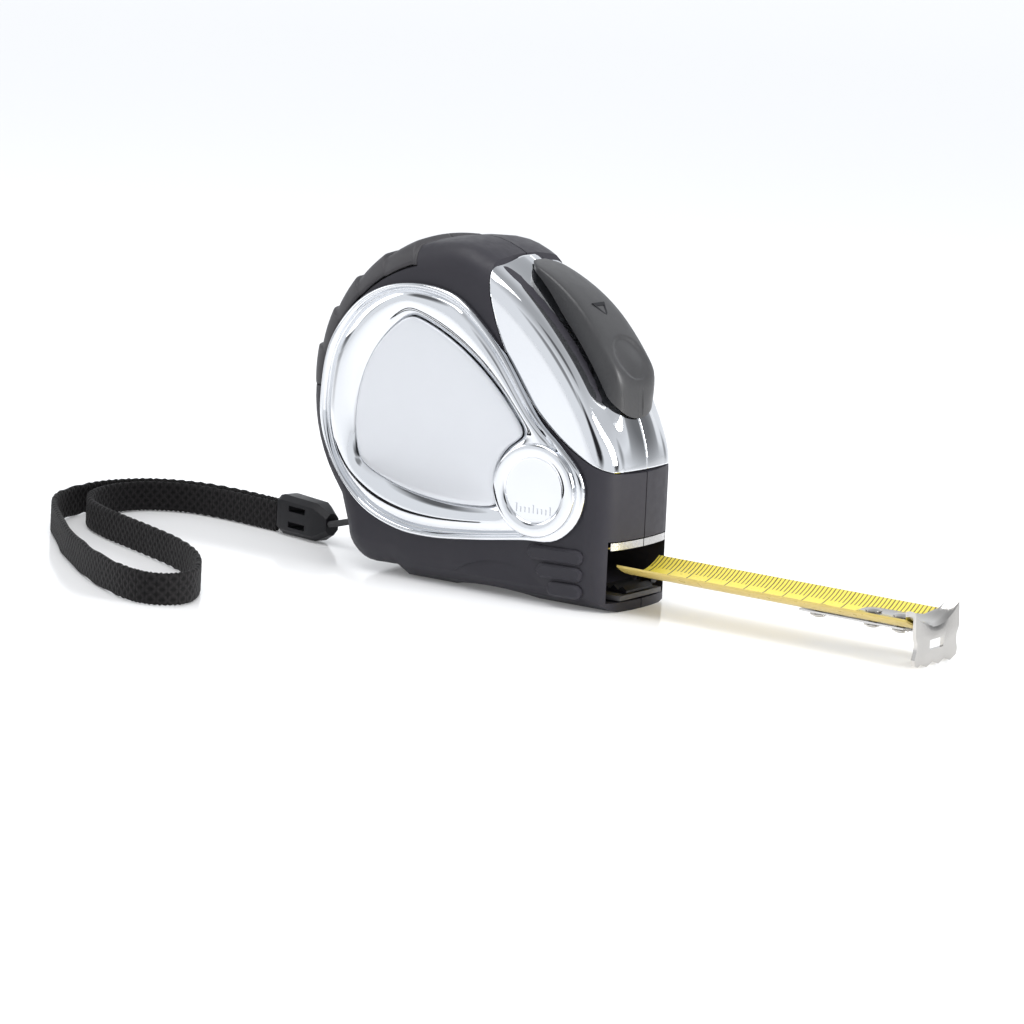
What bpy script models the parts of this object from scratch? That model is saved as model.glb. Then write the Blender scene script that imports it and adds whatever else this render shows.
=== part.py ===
"""Pocket tape measure with a chromed case and a wrist strap, built as separate pieces.

Units: sizes below are in millimetres and become metres through MM. +Z is up, the blade leaves
along +X, and the left side of the case faces -Y. The case is drawn in a frame of its own, which
leans back a little over the sole; the blade, the hook and the strap are drawn in a level frame
with the floor at Z 0. Both have their origin at the mouth, MOUTH_X ahead of the world origin.
"""

import math

import bmesh
import bpy
from mathutils import Vector

MM = 0.001
GAP = 0.3  # clearance between two pieces that touch

# ---------------------------------------------------------------- driving dimensions
MOUTH_X = 4.4  # mouth to world origin, which is under the middle of the object
LEAN = math.radians(1.3)  # how far the case frame leans back
SOLE = 2.5  # height of the case frame's origin above the floor
HALF_FRONT = 14.5  # half thickness of the case at its front
TOE = 0.045  # growth of the half thickness per millimetre towards the rear
CORNER = 6.0  # rounding between the side faces and the rim
CROWN = 0.7  # fall of the rim from the seam to the rounding
WALL = 2.8
SKIN = 1.2  # depth of the recess that holds the shroud and the grips

REAR_X, REAR_Z, REAR_R = -45.5, 39.5, 38.3  # big round rear of the case
FRONT_TOP_Z = 28.0  # where the straight front ends
HEEL_X, HEEL_Z, HEEL_R = -64.3, 9.0, 9.0

BLADE_WIDTH, BLADE_RISE, BLADE_SHEET = 17.8, 2.85, 0.4
BLADE_EDGE_Z = 10.8
BLADE_BACK, BLADE_TIP = -1.5, 73.6
HOOK_PLATE_X, HOOK_SHEET, HOOK_WIDTH = 74.6, 0.9, 19.6
HOOK_FLOOR = 0.3

MOUTH_HALF, MOUTH_LOW, MOUTH_HIGH = 12.0, -0.3, 13.7
MOUTH_DEPTH = 9.0

REEL_X, REEL_Z = -45.0, 38.5
COIL_OUT, COIL_IN, COIL_HALF = 22.0, 14.6, 8.9
DRUM_OUT, DRUM_IN = 14.2, 12.8
AXLE_R = 2.4

BADGE_X, BADGE_Z, BADGE_R = -18.6, 24.0, 10.6
SLIDE_X, SLIDE_Z, SLIDE_R = -77.1, 3.4, 83.0  # centre and radius of the slider's curved track

STRAP_WIDTH, STRAP_SHEET = 7.5, 1.4
PIN_X, PIN_R = -71.4, 1.0
LINK_R = 0.8

COLOURS = {
    "shell_plastic": ((0.060, 0.060, 0.072), 0.55, 0.0),
    "grip_rubber": ((0.050, 0.050, 0.058), 0.65, 0.0),
    "chrome": ((0.86, 0.87, 0.89), 0.06, 1.0),
    "panel_grey": ((0.72, 0.75, 0.78), 0.30, 0.2),
    "slider_plastic": ((0.035, 0.035, 0.038), 0.40, 0.0),
    "inner_plastic": ((0.30, 0.30, 0.31), 0.50, 0.0),
    "black_plastic": ((0.020, 0.020, 0.022), 0.45, 0.0),
    "steel": ((0.62, 0.61, 0.60), 0.28, 1.0),
    "nickel": ((0.80, 0.79, 0.77), 0.18, 1.0),
    "blade_paint": ((0.92, 0.72, 0.12), 0.35, 0.0),
    "webbing": ((0.018, 0.017, 0.018), 0.85, 0.0),
}


# ---------------------------------------------------------------- scene helpers
def clear_scene():
    for obj in list(bpy.data.objects):
        bpy.data.objects.remove(obj)


def make_materials():
    made = {}
    for name, (colour, roughness, metallic) in COLOURS.items():
        material = bpy.data.materials.new(name)
        material.use_nodes = True
        shader = material.node_tree.nodes["Principled BSDF"]
        shader.inputs["Base Color"].default_value = (*colour, 1.0)
        shader.inputs["Roughness"].default_value = roughness
        shader.inputs["Metallic"].default_value = metallic
        made[name] = material
    return made


def make_frame(name, height, lean):
    frame = bpy.data.objects.new(name, None)
    frame.location = (MOUTH_X * MM, 0, height * MM)
    frame.rotation_euler = (0, -lean, 0)
    bpy.context.scene.collection.objects.link(frame)
    return frame


def add(name, points, faces, material=None, origin=(0, 0, 0)):
    """One closed mesh in the current frame, its own origin at the given point."""
    mesh = bpy.data.meshes.new(name)
    pivot = Vector(origin)
    mesh.from_pydata([(Vector(p) - pivot) * MM for p in points], [], faces)
    work = bmesh.new()
    work.from_mesh(mesh)
    bmesh.ops.recalc_face_normals(work, faces=work.faces)
    work.to_mesh(mesh)
    work.free()
    mesh.shade_smooth()
    mesh.set_sharp_from_angle(angle=math.radians(35))
    if material:
        mesh.materials.append(MATERIALS[material])
    obj = bpy.data.objects.new(name, mesh)
    bpy.context.scene.collection.objects.link(obj)
    obj.parent = FRAME
    obj.location = pivot * MM
    return obj


def combine(target, cutters, operation="DIFFERENCE"):
    """Applies Boolean operations to target and removes the cutters."""
    for cutter in cutters:
        modifier = target.modifiers.new(operation.lower(), "BOOLEAN")
        modifier.operation = operation
        modifier.solver = "EXACT"
        modifier.object = cutter
        bpy.context.view_layer.update()
        graph = bpy.context.evaluated_depsgraph_get()
        result = bpy.data.meshes.new_from_object(target.evaluated_get(graph))
        target.modifiers.clear()
        old = target.data
        target.data = result
        bpy.data.meshes.remove(old)
        bpy.data.objects.remove(cutter)
        work = bmesh.new()
        work.from_mesh(result)
        bmesh.ops.remove_doubles(work, verts=work.verts, dist=0.002 * MM)
        bmesh.ops.dissolve_degenerate(work, edges=work.edges, dist=0.002 * MM)
        work.to_mesh(result)
        work.free()
    target.data.shade_smooth()
    target.data.set_sharp_from_angle(angle=math.radians(35))
    return target


# ---------------------------------------------------------------- shape helpers
def arc(cx, cz, radius, start, end, steps):
    angles = [math.radians(start + (end - start) * i / steps) for i in range(steps + 1)]
    return [(cx + radius * math.cos(a), cz + radius * math.sin(a)) for a in angles]


def line(start, end, steps):
    return [
        (start[0] + (end[0] - start[0]) * i / steps, start[1] + (end[1] - start[1]) * i / steps)
        for i in range(1, steps + 1)
    ]


def bezier(p0, p1, p2, p3, steps):
    points = []
    for i in range(steps + 1):
        t = i / steps
        weights = ((1 - t) ** 3, 3 * t * (1 - t) ** 2, 3 * t * t * (1 - t), t**3)
        points.append(
            tuple(sum(w * p[k] for w, p in zip(weights, (p0, p1, p2, p3))) for k in (0, 1))
        )
    return points


def smooth_loop(knots, steps):
    """Closed Catmull-Rom curve through the knots."""
    count = len(knots)
    points = []
    for i in range(count):
        a, b, c, d = (knots[(i + k) % count] for k in (-1, 0, 1, 2))
        for j in range(steps):
            t = j / steps
            points.append(tuple(spline_value(a[k], b[k], c[k], d[k], t) for k in range(len(b))))
    return points


def smooth_path(knots, steps):
    """Open Catmull-Rom curve through the knots."""
    ends = [knots[0], *knots, knots[-1]]
    points = []
    for i in range(len(knots) - 1):
        a, b, c, d = ends[i : i + 4]
        for j in range(steps):
            t = j / steps
            points.append(tuple(spline_value(a[k], b[k], c[k], d[k], t) for k in range(len(b))))
    points.append(tuple(knots[-1]))
    return points


def spline_value(a, b, c, d, t):
    return 0.5 * (2 * b + (c - a) * t + (2 * a - 5 * b + 4 * c - d) * t * t + (3 * b - a - 3 * c + d) * t**3)


def offset_outline(outline, distance, guide=None):
    """Moves each point of a closed (x, z) outline inward, with mitred corners.

    A guide is a smoother outline of the same number of points, which gives the directions.
    """
    stepped, outline = outline, guide or outline
    count = len(outline)
    area = sum(
        outline[i][0] * outline[(i + 1) % count][1] - outline[(i + 1) % count][0] * outline[i][1]
        for i in range(count)
    )
    turn = 1 if area > 0 else -1
    moved = []
    for i in range(count):
        before, here, after = (Vector(outline[(i + k) % count]) for k in (-1, 0, 1))
        first, second = (here - before).normalized(), (after - here).normalized()
        inward = Vector((-first.y - second.y, first.x + second.x)) * turn
        inward.normalize()
        reach = distance / max(0.6, abs(inward.dot(Vector((-first.y, first.x)))))
        moved.append(tuple(Vector(stepped[i]) + inward * reach))
    return moved


def loft(name, rings, material=None, origin=(0, 0, 0)):
    """Closed solid through rings of equal length, with a flat cap at each end."""
    count = len(rings[0])
    points = [p for ring in rings for p in ring]
    faces = []
    for k in range(len(rings) - 1):
        for i in range(count):
            j = (i + 1) % count
            faces.append((k * count + i, k * count + j, (k + 1) * count + j, (k + 1) * count + i))
    faces.append(tuple(range(count)))
    faces.append(tuple(range((len(rings) - 1) * count, len(rings) * count)))
    return add(name, points, faces, material, origin)


def prism(name, outline, y0, y1, material=None, origin=(0, 0, 0)):
    """An (x, z) outline extruded along Y."""
    return loft(name, [[(x, y, z) for x, z in outline] for y in (y0, y1)], material, origin)


def box(name, low, high, material=None, origin=(0, 0, 0)):
    outline = [(low[0], low[2]), (high[0], low[2]), (high[0], high[2]), (low[0], high[2])]
    return prism(name, outline, low[1], high[1], material, origin)


def turned(name, profile, centre, axis, material=None, sides=32):
    """A closed (radius, height) profile turned about an axis through centre.

    A profile that starts and ends at radius 0 makes a solid disc or pin; any other makes a ring.
    """
    turn = Vector((0, 0, 1)).rotation_difference(Vector(axis)).to_matrix()
    points, faces, rows = [], [], []
    for radius, height in profile:
        row = []
        for i in range(1 if radius == 0 else sides):
            a = 2 * math.pi * i / sides
            spot = turn @ Vector((radius * math.cos(a), radius * math.sin(a), height))
            row.append(len(points))
            points.append(spot + Vector(centre))
        rows.append(row)
    closed = profile[0][0] != 0
    pairs = list(zip(rows, rows[1:])) + ([(rows[-1], rows[0])] if closed else [])
    for low, high in pairs:
        for i in range(sides):
            j = (i + 1) % sides
            corners = [low[i % len(low)], low[j % len(low)], high[j % len(high)], high[i % len(high)]]
            face = list(dict.fromkeys(corners))
            if len(face) > 2:
                faces.append(face)
    return add(name, points, faces, material, centre)


def cylinder(name, start, end, radius, material=None, sides=20):
    axis = Vector(end) - Vector(start)
    length = axis.length
    return turned(name, [(0, 0), (radius, 0), (radius, length), (0, length)], start, axis, material, sides)


def strip(name, path, across, half_width, sheet, material):
    """A flat band: path points with a unit normal each, width along the across direction."""
    rings = []
    for spot, normal in path:
        spot, normal = Vector(spot), Vector(normal)
        wide = Vector(across) * half_width
        thick = normal * (sheet / 2)
        rings.append([spot + wide + thick, spot - wide + thick, spot - wide - thick, spot + wide - thick])
    return loft(name, rings, material)


def tube(name, route, radius, material, sides=10):
    """A round cord along a route that runs nearly level."""
    rings = []
    for i, spot in enumerate(route):
        before, after = Vector(route[max(i - 1, 0)]), Vector(route[min(i + 1, len(route) - 1)])
        along = (after - before).normalized()
        level = along.cross(Vector((0, 0, 1))).normalized()
        up = level.cross(along)
        turns = [2 * math.pi * k / sides for k in range(sides)]
        rings.append([Vector(spot) + (level * math.cos(a) + up * math.sin(a)) * radius for a in turns])
    return loft(name, rings, material)


# ---------------------------------------------------------------- the case surface
def half_thickness(x):
    return HALF_FRONT - TOE * x


def floor_level(x):
    """Height of the floor in the case frame."""
    return -(SOLE + x * math.sin(LEAN)) / math.cos(LEAN)


def case_outline(rear):
    """Side view of the case, from the foot of the mouth over the top to the heel and back.

    The sole is drawn a little low, because the floor plane then trims it flat.
    """
    front_top = bezier((0, FRONT_TOP_Z), (0, 48.3), (-30.2, 77.8), (REAR_X, REAR_Z + REAR_R), 18)
    toe, instep = (0, floor_level(0) - CROWN), (-55.4, floor_level(-55.4) - CROWN)
    points = [toe]
    points += line(toe, (0, FRONT_TOP_Z), 3)
    points += front_top[1:]
    points += rear[1:]
    points += [(-75.3, 15.2)]
    points += arc(HEEL_X, HEEL_Z, HEEL_R, 183, 270, 7)
    points += [(-58.6, HEEL_Z - HEEL_R), instep]
    points += line(instep, toe, 5)[:-1]
    return points


def case_solid(name, side, grow=0.0, inner_y=GAP / 2, step=None):
    """One half of the case as a solid; side is -1 for the left half and 1 for the right."""
    plain = arc(REAR_X, REAR_Z, REAR_R, 90, 213, 24)
    outline = case_outline(plain if step is None else stepped_arc(step))
    guide = outline if step is None else case_outline(stepped_arc(0.0))
    radius = CORNER + grow
    rings = []
    for flat, turn in ((0, 0), (0.5, 0), (1, 0), (1, 22), (1, 45), (1, 68), (1, 90)):
        inset = CROWN * flat**2 + radius * (1 - math.cos(math.radians(turn))) - grow
        ring = []
        for x, z in offset_outline(outline, inset, guide):
            y = (half_thickness(x) - CORNER) * flat + radius * math.sin(math.radians(turn))
            ring.append((x, side * (y if flat else inner_y), z))
        rings.append(ring)
    return loft(name, rings)


def on_side(x, z, depth, side):
    """A point at a height above the flat side face."""
    return (x, side * (half_thickness(x) + depth), z)


def side_prism(name, outline, low, high, side, material=None):
    """An outline raised on the side face, between two heights above it."""
    return loft(name, [[on_side(x, z, d, side) for x, z in outline] for d in (low, high)], material)


def shroud_region(shrink=0.0):
    """Side view of the area that the chromed front cover takes."""
    edge = bezier((-35.6, 80), (-35.6, 52), (-17, 33), (2, FRONT_TOP_Z), 16)
    outline = edge + [(8, 30), (8, 80)]
    return offset_outline(outline, shrink)


def grip_region(shrink=0.0):
    """Side view of the area of the stepped grip, over the rear and top of the case."""
    outline = arc(REAR_X, REAR_Z, 32.6, 178, 104.6, 12) + arc(REAR_X, REAR_Z, 46, 104.6, 178, 12)
    return offset_outline(outline, shrink)


def stepped_arc(rise):
    """The rear arc with five overlapping steps: each rises at its front edge and falls rearward."""
    points = arc(REAR_X, REAR_Z, REAR_R, 90, 104, 3)
    first, pitch = 106, 14.3
    for step in range(5):
        start = first + step * pitch
        for along, height in ((0, 0), (0.05, 0.75), (0.14, 1.0), (0.4, 0.75), (0.7, 0.3), (0.97, 0)):
            a = math.radians(start + along * pitch)
            r = REAR_R + rise * height
            points.append((REAR_X + r * math.cos(a), REAR_Z + r * math.sin(a)))
    points += arc(REAR_X, REAR_Z, REAR_R, 179, 213, 7)
    return points


def slide_point(angle, radius):
    """A point on the slider's track, by angle from +X and distance from its centre."""
    a = math.radians(angle)
    return (SLIDE_X + radius * math.cos(a), SLIDE_Z + radius * math.sin(a))


def slide_band(start, end, inner, outer, steps=10):
    low = [slide_point(start + (end - start) * i / steps, inner) for i in range(steps + 1)]
    high = [slide_point(end + (start - end) * i / steps, outer) for i in range(steps + 1)]
    return low + high


# ---------------------------------------------------------------- case pieces
SCREWS = {"rear": (-62.0, 19.0), "top": (-48.0, 64.6), "front": (-20.5, 22.0)}
SLOT_START, SLOT_END, SLOT_HALF = 33.5, 50.5, 3.2
RIDGES = ((-21.0, 9.7), (-18.5, 5.8), (-15.5, 1.9))
RIDGE_R = 1.7


def side_cutters(side):
    """What is cut from a finished shell half: mouth, slider slot, arch, strap recess and pin seat."""
    slot = slide_band(SLOT_START, SLOT_END, SLIDE_R - 9, SLIDE_R + 9)
    arch = bezier((-47.5, -4), (-44, 1.6), (-20, 0.8), (-14.6, -4), 10)
    scallop = [(-50, -6), *bezier((-46, -1.5), (-34, 9.5), (-22, 8), (-15.2, 0), 12), (-15.2, -6)]
    sole = [(x, floor_level(x)) for x in (-90, 10)] + [(10, -12), (-90, -12)]
    return [
        box("mouth_cut", (-MOUTH_DEPTH, -MOUTH_HALF, MOUTH_LOW), (2, MOUTH_HALF, MOUTH_HIGH)),
        prism("slot_cut", slot, -SLOT_HALF, SLOT_HALF),
        prism("arch_cut", arch, -30, 30),
        side_prism("scallop_cut", scallop, -0.4, 3, side),
        prism("sole_cut", sole, -30, 30),
        box("strap_cut", (-80, -4, 5.6), (-66, 4, 12.4)),
        cylinder("pin_cut", (PIN_X, 0, 4.6), (PIN_X, 0, 13.6), PIN_R + GAP),
    ]


def shell_half(name, side):
    """Moulded half of the case: outer skin, recess for shroud and grip, cavity and screw bosses."""
    shell = case_solid(name, side)
    shell.data.materials.append(MATERIALS["shell_plastic"])
    regions = [prism("region", region, -40, 40) for region in (shroud_region(), grip_region())]
    combine(shell, regions)
    combine(shell, [case_solid("core", side, -SKIN)], "UNION")
    for x, z in RIDGES:
        pill = [*arc(-8.2, z, RIDGE_R, -90, 90, 6), *arc(x + RIDGE_R, z, RIDGE_R, 90, 270, 6)]
        ridge = loft(
            "ridge",
            [
                [on_side(*p, -1.5, side) for p in pill],
                [on_side(*p, 0.45, side) for p in pill],
                [on_side(*p, 0.95, side) for p in offset_outline(pill, 0.6)],
            ],
        )
        combine(shell, [ridge], "UNION")
    combine(shell, [case_solid("cavity", side, -WALL, inner_y=-2)])
    for x, z in SCREWS.values():
        wall = side * (half_thickness(x) - 1)
        combine(shell, [cylinder("boss", (x, side * GAP / 2, z), (x, wall, z), 2.7)], "UNION")
        combine(shell, [cylinder("bore", (x, -side * 2, z), (x, side * 30 if side > 0 else -9, z), 1.2)])
        if side > 0:
            head = half_thickness(x) - 1.9
            combine(shell, [cylinder("counterbore", (x, head, z), (x, head + 9, z), 2.3)])
    combine(shell, side_cutters(side))
    return shell


def shroud_half(name, side):
    """Chromed cover over the front slope, one millimetre thick, open where the slider runs."""
    shroud = case_solid(name, side)
    shroud.data.materials.append(MATERIALS["chrome"])
    combine(shroud, [prism("region", shroud_region(GAP), -40, 40)], "INTERSECT")
    combine(shroud, [case_solid("core", side, GAP - SKIN, inner_y=-2)])
    slot = slide_band(SLOT_START, SLOT_END, SLIDE_R - 9, SLIDE_R + 9)
    combine(shroud, [prism("slot_cut", slot, -SLOT_HALF, SLOT_HALF)])
    return shroud


def grip_half(name, side):
    """Stepped rubber pad over the rear and top of one case half."""
    grip = case_solid(name, side, step=1.1)
    grip.data.materials.append(MATERIALS["grip_rubber"])
    combine(grip, [prism("region", grip_region(GAP), -40, 40)], "INTERSECT")
    combine(grip, [case_solid("core", side, GAP - SKIN, inner_y=-2)])
    return grip


PLATE_KNOTS = (
    (-78.0, 39), (-76.2, 51), (-70.2, 60.3), (-62.5, 65.6), (-53.5, 67.4), (-45.0, 66.5),
    (-38.5, 63.2), (-29.5, 54.2), (-20.0, 41.0), (-12.6, 34.2), (-7.6, 28.8), (-6.4, 23.0),
    (-8.6, 16.8), (-14.0, 12.6), (-22.0, 11.9), (-34.0, 10.4), (-46.5, 9.4), (-56.5, 10.4),
    (-66.0, 14.6), (-73.6, 23.0), (-77.2, 31),
)  # fmt: skip


def plate_outline():
    return smooth_loop(PLATE_KNOTS, 4)


def panel_outline():
    """Three-cornered face panel with bowed edges and a bite around the badge."""
    top, heel, nose, toe = (-54.0, 60.4), (-66.6, 25.0), (-21.6, 35.6), (-28.0, 18.8)
    outline = bezier(top, (-64.5, 54.5), (-71.5, 41), heel, 12)
    outline += bezier(heel, (-56, 18.6), (-42, 16.6), toe, 10)[1:]
    outline += bezier(toe, (-32.0, 25.5), (-28.6, 33.5), nose, 6)[1:]
    outline += bezier(nose, (-31, 49.5), (-43, 57.5), top, 12)[1:-1]
    return outline


def resample_radially(outline, centre, angles):
    """Where rays from centre cross a closed outline."""
    found = []
    count = len(outline)
    for angle in angles:
        ray = Vector((math.cos(angle), math.sin(angle)))
        best = None
        for i in range(count):
            a = Vector(outline[i]) - Vector(centre)
            b = Vector(outline[(i + 1) % count]) - Vector(centre)
            edge = b - a
            cross = ray.x * edge.y - ray.y * edge.x
            if abs(cross) < 1e-9:
                continue
            distance = (a.x * edge.y - a.y * edge.x) / cross
            share = (a.x * ray.y - a.y * ray.x) / cross
            if distance > 0 and -1e-6 <= share <= 1 + 1e-6 and (best is None or distance > best):
                best = distance
        found.append((centre[0] + ray.x * best, centre[1] + ray.y * best))
    return found


PLATE_CENTRE = (-47.0, 37.0)
PLATE_STEPS = (
    (0.0, 0.3), (0.0, 1.0), (0.05, 1.6), (0.13, 1.75), (0.20, 1.3), (0.27, 1.25), (0.34, 1.65),
    (0.50, 2.05), (0.68, 1.95), (0.85, 1.5), (1.0, 0.9),
)  # fmt: skip


def side_plate(name, side):
    """Chromed plate: a rolled rim, a groove and a swelling band that falls to the panel's seat."""
    inner = panel_outline()
    angles = sorted(math.atan2(z - PLATE_CENTRE[1], x - PLATE_CENTRE[0]) for x, z in inner)
    extra = [a / 2 + b / 2 for a, b in zip(angles, angles[1:] + [angles[0] + 2 * math.pi])]
    angles = sorted(angles + extra)
    rim = resample_radially(plate_outline(), PLATE_CENTRE, angles)
    seat = resample_radially(inner, PLATE_CENTRE, angles)
    rings = []
    for share, height in PLATE_STEPS:
        ring = [(a[0] + (b[0] - a[0]) * share, a[1] + (b[1] - a[1]) * share) for a, b in zip(rim, seat)]
        rings.append([on_side(x, z, height, side) for x, z in ring])
    plate = loft(name, rings, "chrome")
    pocket = [*arc(BADGE_X, BADGE_Z, BADGE_R + GAP, 0, 360, 40)][:-1]
    return combine(plate, [side_prism("badge_cut", pocket, 0.9, 6, side)])


def face_panel(name, side):
    outline = offset_outline(panel_outline(), 0.5)
    return side_prism(name, outline, 1.2, 1.75, side, "panel_grey")


def badge(name, side):
    """Round badge with a raised rim, a sunk face and a ruler mark of five ticks."""
    rings = []
    for radius, height in ((10.6, 1.2), (10.6, 2.6), (10.2, 3.1), (9.4, 3.3), (7.9, 3.2), (7.2, 2.7)):
        circle = arc(BADGE_X, BADGE_Z, radius, 0, 360, 40)[:-1]
        rings.append([on_side(x, z, height, side) for x, z in circle])
    disc = loft(name, rings, "chrome")
    for tick in range(5):
        x = BADGE_X + (tick - 2) * 2.2
        top = 4.2 if tick in (0, 4) else 2.2
        low = BADGE_Z - 3.2
        mark = [(x - 0.4, low), (x + 0.4, low), (x + 0.4, low + top), (x - 0.4, low + top)]
        combine(disc, [side_prism("tick", mark, 2.0, 3.05, side)], "UNION")
    return disc


def rounded_front(piece, side):
    """Trims a piece in the mouth to the rounding of the case's front."""
    return combine(piece, [case_solid("trim", side, -0.1)], "INTERSECT")


def case_pieces():
    for word, side in (("left", -1), ("right", 1)):
        shell_half(f"{word}_shell", side)
        shroud_half(f"{word}_shroud", side)
        grip_half(f"{word}_grip", side)
        side_plate(f"{word}_side_plate", side)
        face_panel(f"{word}_face_panel", side)
        badge(f"{word}_badge", side)
        low, high = sorted((side * GAP / 2, side * (MOUTH_HALF - GAP)))
        rounded_front(box(f"{word}_mouth_bar", (-1.6, low, 11.7), (2, high, MOUTH_HIGH - GAP), "steel"), side)
    for word, (x, z) in SCREWS.items():
        head = half_thickness(x) - 1.9 + GAP
        shank = [(0, 0), (0.9, 0), (0.9, head + 8), (2.0, head + 8), (2.0, head + 9.4), (0, head + 9.4)]
        turned(f"case_screw_{word}", shank, (x, -8, z), (0, 1, 0), "steel", 16)


# ---------------------------------------------------------------- mouth, strap eye and reel
def mouth_pieces():
    box("mouth_plate", (-8.6, -8.6, 0.1), (-0.2, 8.6, 1.2), "inner_plastic")
    teeth = [(-7.5, 1.5), (-0.6, 1.5)]
    teeth += [(-0.6 - 1.15 * i, 2.9 if i % 2 else 2.0) for i in range(7)]
    prism("blade_guide", teeth, -5.5, 5.5, "black_plastic")
    bumper = arc(-2.6, 2.9, 1.3, 0, 360, 16)[:-1]
    prism("hook_bumper", bumper, 6.0, 8.4, "black_plastic")
    cylinder("strap_pin", (PIN_X, 0, 4.9), (PIN_X, 0, 13.3), PIN_R, "steel", 16)


def lead_path():
    """The inner stretch of the blade, from the underside of the coil down to the mouth."""
    start = (REEL_X, REEL_Z - COIL_OUT - 0.5)
    points = bezier(start, (-30, start[1]), (-22, 11.6), (-4, 11.6), 12)
    path = []
    for i, (x, z) in enumerate(points):
        before, after = points[max(i - 1, 0)], points[min(i + 1, len(points) - 1)]
        along = Vector((after[0] - before[0], 0, after[1] - before[1])).normalized()
        path.append(((x, 0, z), (-along.z, 0, along.x)))
    return path


def reel_pieces():
    centre = (REEL_X, 0, REEL_Z)
    post = [(0, -13.4), (4.5, -13.4), (4.5, -12.0), (AXLE_R, -12.0), (AXLE_R, 13.4), (0, 13.4)]
    turned("axle_post", post, centre, (0, 1, 0), "inner_plastic", 24)
    bore = AXLE_R + 0.1
    drum = [
        (bore, -10.2), (22.4, -10.2), (22.4, -9.3), (DRUM_OUT, -9.3),
        (DRUM_OUT, 9.0), (DRUM_IN, 9.0), (DRUM_IN, -8.9), (bore, -8.9),
    ]  # fmt: skip
    turned("reel_drum", drum, centre, (0, 1, 0), "inner_plastic", 40)
    cover = [(bore, 9.3), (22.4, 9.3), (22.4, 10.1), (bore, 10.1)]
    turned("reel_cover", cover, centre, (0, 1, 0), "inner_plastic", 40)
    coil = [(COIL_IN, -COIL_HALF), (COIL_OUT, -COIL_HALF), (COIL_OUT, COIL_HALF), (COIL_IN, COIL_HALF)]
    turned("tape_coil", coil, centre, (0, 1, 0), "blade_paint", 48)
    turns, steps = 4, 22
    path = []
    for i in range(turns * steps + 1):
        a = 2 * math.pi * i / steps
        r = 4.2 + 7.9 * i / (turns * steps)
        way = Vector((math.cos(a), 0, math.sin(a)))
        path.append((Vector(centre) + way * r, way))
    strip("power_spring", path, (0, 1, 0), 8.0, 0.5, "steel")
    strip("blade_lead", lead_path(), (0, 1, 0), 8.6, 0.35, "blade_paint")


# ---------------------------------------------------------------- slider and brake
SLIDER_LIFT = SLIDE_R + 0.5
SLIDER_TOP, SLIDER_SWEEP, SLIDER_RAKE = 57.0, 30.5, 4.3  # degrees along the track


def slider_size(share):
    """Half width and height of the slider at a share of its length from its top end."""
    low_end = math.sqrt(max(0.0, 1 - max(0.0, (share - 0.80) / 0.20) ** 2.2))
    top_end = math.sqrt(max(0.0, 1 - max(0.0, (0.10 - share) / 0.10) ** 2))
    half = 5.0 + 3.2 * math.sin(min(1.0, share / 0.8) * math.pi / 2)
    half *= max(low_end, 0.3) * max(top_end, 0.45)
    height = 0.3 + 3.6 * math.sin(min(1.0, share / 0.6) * math.pi / 2) ** 0.9
    return half, height - 0.9 * max(0.0, (share - 0.86) / 0.14) ** 2


def slider_pieces():
    """Thumb slider on a curved track, its carrier inside the case and the brake it works."""
    pivot = (SLIDE_X, 0, SLIDE_Z)
    rings = []
    section = ((-1, 0), (-1, 0.6), (-0.95, 0.85), (-0.8, 0.97), (-0.4, 1.03), (0, 1.05))
    section += tuple((-u, v) for u, v in reversed(section[:-1]))
    for share in (0, 0.03, 0.08, 0.18, 0.32, 0.46, 0.6, 0.74, 0.84, 0.91, 0.96, 0.99, 1.0):
        half, height = slider_size(share)
        ring = []
        for u, v in section:
            angle = SLIDER_TOP - share * (SLIDER_SWEEP - SLIDER_RAKE * v)
            radius = SLIDER_LIFT - 0.25 * u**2 * (1 - v) + v * height
            x, z = slide_point(angle, radius)
            ring.append((x, u * half, z))
        rings.append(ring)
    top = loft("lock_slider", rings, "slider_plastic", pivot)
    outward = Vector((math.cos(math.radians(35.4)), 0, math.sin(math.radians(35.4))))
    bowl = [(0, 0), (3.6, 0.15), (5.5, 0.6), (5.5, 6), (0, 6)]
    deepest = Vector(pivot) + outward * (SLIDER_LIFT + slider_size(0.84)[1] - 0.35)
    combine(top, [turned("dish", bowl, deepest, outward, None, 28)])
    neck = slide_band(38.5, 45.5, SLIDE_R - 4.5, SLIDER_LIFT - 0.65, 6)
    foot = slide_band(35.5, 48.5, SLIDE_R - 5.8, SLIDE_R - 3.5, 6)
    carrier = prism("slider_carrier", neck, -2.7, 2.7, "inner_plastic", pivot)
    combine(carrier, [prism("foot", foot, -6.0, 6.0, None, pivot)], "UNION")

    hub = (-12.5, 30.0)
    lever = [
        *arc(hub[0], hub[1], 3.0, 110, 240, 6), (-9.8, 13.0), (-4.4, 13.0), (-5.5, 20),
        *arc(hub[0], hub[1], 3.0, -20, 50, 3), (-12.0, 44.5), (-13.9, 44.5),
    ]  # fmt: skip
    brake = prism("brake_lever", lever, -5.0, 5.0, "black_plastic", (hub[0], 0, hub[1]))
    combine(brake, [cylinder("hole", (hub[0], -8, hub[1]), (hub[0], 8, hub[1]), 1.45)])
    cylinder("brake_pin", (hub[0], -11.9, hub[1]), (hub[0], 11.9, hub[1]), 1.15, "steel", 16)
    spring = [((-17.5 + 0.5 * i, 0, 27.0 + 1.6 * i), Vector((0.95, 0, -0.3)).normalized()) for i in range(5)]
    strip("brake_spring", spring, (0, 1, 0), 3.0, 0.4, "steel")


# ---------------------------------------------------------------- blade and hook
def blade_radius():
    half = BLADE_WIDTH / 2
    return (half**2 + BLADE_RISE**2) / (2 * BLADE_RISE)


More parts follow.
